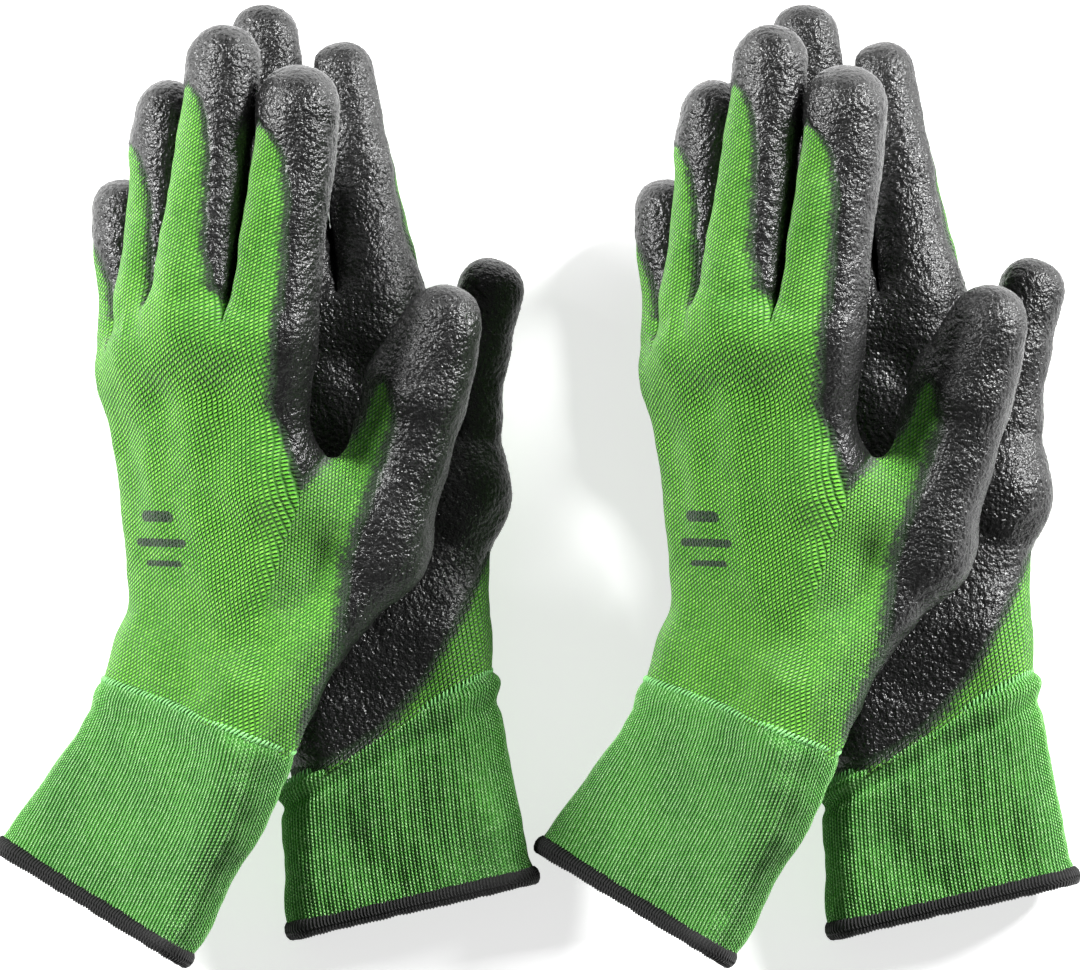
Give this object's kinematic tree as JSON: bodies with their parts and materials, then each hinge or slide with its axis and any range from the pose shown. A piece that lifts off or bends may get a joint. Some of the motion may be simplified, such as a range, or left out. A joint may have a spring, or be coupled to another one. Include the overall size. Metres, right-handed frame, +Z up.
{
  "type": "gardening gloves",
  "caption": "Knitted gardening gloves with a foam-coated palm and fingertips, rib cuffs and overlocked hems, laid palm to palm.",
  "frame": {"origin": "middle of the footprint, on the table that the gloves lie on", "axes": "+Z up, away from the table; +Y towards the fingertips; +X from the first pair towards the second"},
  "size_m": [0.2915, 0.2598, 0.082],
  "materials": {
    "knit": "fine jersey knit, matt",
    "rib": "rib knit with pale elastic stitches, matt",
    "foam": "crinkled foam coating, soft sheen",
    "hem": "overlocked elastic thread, soft sheen"
  },
  "bodies": {
    "pair1_right": {"pair1_right_hand_liner": "knit", "pair1_right_palm_coating": "foam", "pair1_right_cuff": "rib", "pair1_right_hem": "hem"},
    "pair1_right_index": {"pair1_right_index_liner": "knit", "pair1_right_index_coating": "foam"},
    "pair1_right_middle": {"pair1_right_middle_liner": "knit", "pair1_right_middle_coating": "foam"},
    "pair1_right_ring": {"pair1_right_ring_liner": "knit", "pair1_right_ring_coating": "foam"},
    "pair1_right_little": {"pair1_right_little_liner": "knit", "pair1_right_little_coating": "foam"},
    "pair1_right_thumb": {"pair1_right_thumb_liner": "knit", "pair1_right_thumb_coating": "foam"},
    "pair1_left": {"pair1_left_hand_liner": "knit", "pair1_left_palm_coating": "foam", "pair1_left_cuff": "rib", "pair1_left_hem": "hem"},
    "pair1_left_index": {"pair1_left_index_liner": "knit", "pair1_left_index_coating": "foam"},
    "pair1_left_middle": {"pair1_left_middle_liner": "knit", "pair1_left_middle_coating": "foam"},
    "pair1_left_ring": {"pair1_left_ring_liner": "knit", "pair1_left_ring_coating": "foam"},
    "pair1_left_little": {"pair1_left_little_liner": "knit", "pair1_left_little_coating": "foam"},
    "pair1_left_thumb": {"pair1_left_thumb_liner": "knit", "pair1_left_thumb_coating": "foam"},
    "pair2_right": {"pair2_right_hand_liner": "knit", "pair2_right_palm_coating": "foam", "pair2_right_cuff": "rib", "pair2_right_hem": "hem"},
    "pair2_right_index": {"pair2_right_index_liner": "knit", "pair2_right_index_coating": "foam"},
    "pair2_right_middle": {"pair2_right_middle_liner": "knit", "pair2_right_middle_coating": "foam"},
    "pair2_right_ring": {"pair2_right_ring_liner": "knit", "pair2_right_ring_coating": "foam"},
    "pair2_right_little": {"pair2_right_little_liner": "knit", "pair2_right_little_coating": "foam"},
    "pair2_right_thumb": {"pair2_right_thumb_liner": "knit", "pair2_right_thumb_coating": "foam"},
    "pair2_left": {"pair2_left_hand_liner": "knit", "pair2_left_palm_coating": "foam", "pair2_left_cuff": "rib", "pair2_left_hem": "hem"},
    "pair2_left_index": {"pair2_left_index_liner": "knit", "pair2_left_index_coating": "foam"},
    "pair2_left_middle": {"pair2_left_middle_liner": "knit", "pair2_left_middle_coating": "foam"},
    "pair2_left_ring": {"pair2_left_ring_liner": "knit", "pair2_left_ring_coating": "foam"},
    "pair2_left_little": {"pair2_left_little_liner": "knit", "pair2_left_little_coating": "foam"},
    "pair2_left_thumb": {"pair2_left_thumb_liner": "knit", "pair2_left_thumb_coating": "foam"}
  },
  "joints": [
    {"name": "pair1_left_lift", "type": "slide", "parent": "pair1_right", "child": "pair1_left", "axis": [0, 0, 1], "range_m": [0, 0.15]},
    {"name": "pair2_lift", "type": "slide", "parent": "pair1_right", "child": "pair2_right", "axis": [0, 0, 1], "range_m": [0, 0.15]},
    {"name": "pair2_left_lift", "type": "slide", "parent": "pair2_right", "child": "pair2_left", "axis": [0, 0, 1], "range_m": [0, 0.15]},
    {"name": "pair1_right_index_bend", "type": "hinge", "parent": "pair1_right", "child": "pair1_right_index", "pos_m": [-0.04533, 0.05996, 0.0115], "axis": [0.9866, 0.1633, 0], "range_deg": [0, 40]},
    {"name": "pair1_right_middle_bend", "type": "hinge", "parent": "pair1_right", "child": "pair1_right_middle", "pos_m": [-0.06559, 0.06005, 0.01045], "axis": [0.9866, 0.1633, 0], "range_deg": [0, 40]},
    {"name": "pair1_right_ring_bend", "type": "hinge", "parent": "pair1_right", "child": "pair1_right_ring", "pos_m": [-0.08417, 0.04988, 0.01115], "axis": [0.9866, 0.1633, 0], "range_deg": [0, 40]},
    {"name": "pair1_right_little_bend", "type": "hinge", "parent": "pair1_right", "child": "pair1_right_little", "pos_m": [-0.10235, 0.03775, 0.01289], "axis": [0.9866, 0.1633, 0], "range_deg": [0, 40]},
    {"name": "pair1_right_thumb_bend", "type": "hinge", "parent": "pair1_right", "child": "pair1_right_thumb", "pos_m": [-0.01463, -0.00551, 0.0142], "axis": [0.9866, 0.1633, 0], "range_deg": [0, 30]},
    {"name": "pair1_left_index_bend", "type": "hinge", "parent": "pair1_left", "child": "pair1_left_index", "pos_m": [-0.07161, 0.05155, 0.0715], "axis": [-0.7427, 0.0259, -0.6691], "range_deg": [0, 40]},
    {"name": "pair1_left_middle_bend", "type": "hinge", "parent": "pair1_left", "child": "pair1_left_middle", "pos_m": [-0.09104, 0.05563, 0.06734], "axis": [-0.7427, 0.0259, -0.6691], "range_deg": [0, 40]},
    {"name": "pair1_left_ring_bend", "type": "hinge", "parent": "pair1_left", "child": "pair1_left_ring", "pos_m": [-0.10414, 0.04908, 0.05202], "axis": [-0.7427, 0.0259, -0.6691], "range_deg": [0, 40]},
    {"name": "pair1_left_little_bend", "type": "hinge", "parent": "pair1_left", "child": "pair1_left_little", "pos_m": [-0.11258, 0.04037, 0.03375], "axis": [-0.7427, 0.0259, -0.6691], "range_deg": [0, 40]},
    {"name": "pair1_left_thumb_bend", "type": "hinge", "parent": "pair1_left", "child": "pair1_left_thumb", "pos_m": [-0.04271, -0.0176, 0.0465], "axis": [-0.7427, 0.0259, -0.6691], "range_deg": [0, 30]},
    {"name": "pair2_right_index_bend", "type": "hinge", "parent": "pair2_right", "child": "pair2_right_index", "pos_m": [0.10167, 0.05996, 0.0115], "axis": [0.9866, 0.1633, 0], "range_deg": [0, 40]},
    {"name": "pair2_right_middle_bend", "type": "hinge", "parent": "pair2_right", "child": "pair2_right_middle", "pos_m": [0.08141, 0.06005, 0.01045], "axis": [0.9866, 0.1633, 0], "range_deg": [0, 40]},
    {"name": "pair2_right_ring_bend", "type": "hinge", "parent": "pair2_right", "child": "pair2_right_ring", "pos_m": [0.06283, 0.04988, 0.01115], "axis": [0.9866, 0.1633, 0], "range_deg": [0, 40]},
    {"name": "pair2_right_little_bend", "type": "hinge", "parent": "pair2_right", "child": "pair2_right_little", "pos_m": [0.04465, 0.03775, 0.01289], "axis": [0.9866, 0.1633, 0], "range_deg": [0, 40]},
    {"name": "pair2_right_thumb_bend", "type": "hinge", "parent": "pair2_right", "child": "pair2_right_thumb", "pos_m": [0.13237, -0.00551, 0.0142], "axis": [0.9866, 0.1633, 0], "range_deg": [0, 30]},
    {"name": "pair2_left_index_bend", "type": "hinge", "parent": "pair2_left", "child": "pair2_left_index", "pos_m": [0.07539, 0.05155, 0.0715], "axis": [-0.7427, 0.0259, -0.6691], "range_deg": [0, 40]},
    {"name": "pair2_left_middle_bend", "type": "hinge", "parent": "pair2_left", "child": "pair2_left_middle", "pos_m": [0.05596, 0.05563, 0.06734], "axis": [-0.7427, 0.0259, -0.6691], "range_deg": [0, 40]},
    {"name": "pair2_left_ring_bend", "type": "hinge", "parent": "pair2_left", "child": "pair2_left_ring", "pos_m": [0.04287, 0.04908, 0.05202], "axis": [-0.7427, 0.0259, -0.6691], "range_deg": [0, 40]},
    {"name": "pair2_left_little_bend", "type": "hinge", "parent": "pair2_left", "child": "pair2_left_little", "pos_m": [0.03442, 0.04037, 0.03375], "axis": [-0.7427, 0.0259, -0.6691], "range_deg": [0, 40]},
    {"name": "pair2_left_thumb_bend", "type": "hinge", "parent": "pair2_left", "child": "pair2_left_thumb", "pos_m": [0.10429, -0.0176, 0.0465], "axis": [-0.7427, 0.0259, -0.6691], "range_deg": [0, 30]}
  ],
  "couplings": [
    {"joint": "pair1_right_index_bend", "follows": "pair1_left_lift", "rad_per_m": 4.6537},
    {"joint": "pair1_right_middle_bend", "follows": "pair1_left_lift", "rad_per_m": 4.6537},
    {"joint": "pair1_right_ring_bend", "follows": "pair1_left_lift", "rad_per_m": 4.6537},
    {"joint": "pair1_right_little_bend", "follows": "pair1_left_lift", "rad_per_m": 4.6537},
    {"joint": "pair1_right_thumb_bend", "follows": "pair1_left_lift", "rad_per_m": 3.4903},
    {"joint": "pair1_left_index_bend", "follows": "pair1_left_lift", "rad_per_m": 4.6537},
    {"joint": "pair1_left_middle_bend", "follows": "pair1_left_lift", "rad_per_m": 4.6537},
    {"joint": "pair1_left_ring_bend", "follows": "pair1_left_lift", "rad_per_m": 4.6537},
    {"joint": "pair1_left_little_bend", "follows": "pair1_left_lift", "rad_per_m": 4.6537},
    {"joint": "pair1_left_thumb_bend", "follows": "pair1_left_lift", "rad_per_m": 3.4903},
    {"joint": "pair2_right_index_bend", "follows": "pair2_left_lift", "rad_per_m": 4.6537},
    {"joint": "pair2_right_middle_bend", "follows": "pair2_left_lift", "rad_per_m": 4.6537},
    {"joint": "pair2_right_ring_bend", "follows": "pair2_left_lift", "rad_per_m": 4.6537},
    {"joint": "pair2_right_little_bend", "follows": "pair2_left_lift", "rad_per_m": 4.6537},
    {"joint": "pair2_right_thumb_bend", "follows": "pair2_left_lift", "rad_per_m": 3.4903},
    {"joint": "pair2_left_index_bend", "follows": "pair2_left_lift", "rad_per_m": 4.6537},
    {"joint": "pair2_left_middle_bend", "follows": "pair2_left_lift", "rad_per_m": 4.6537},
    {"joint": "pair2_left_ring_bend", "follows": "pair2_left_lift", "rad_per_m": 4.6537},
    {"joint": "pair2_left_little_bend", "follows": "pair2_left_lift", "rad_per_m": 4.6537},
    {"joint": "pair2_left_thumb_bend", "follows": "pair2_left_lift", "rad_per_m": 3.4903}
  ]
}
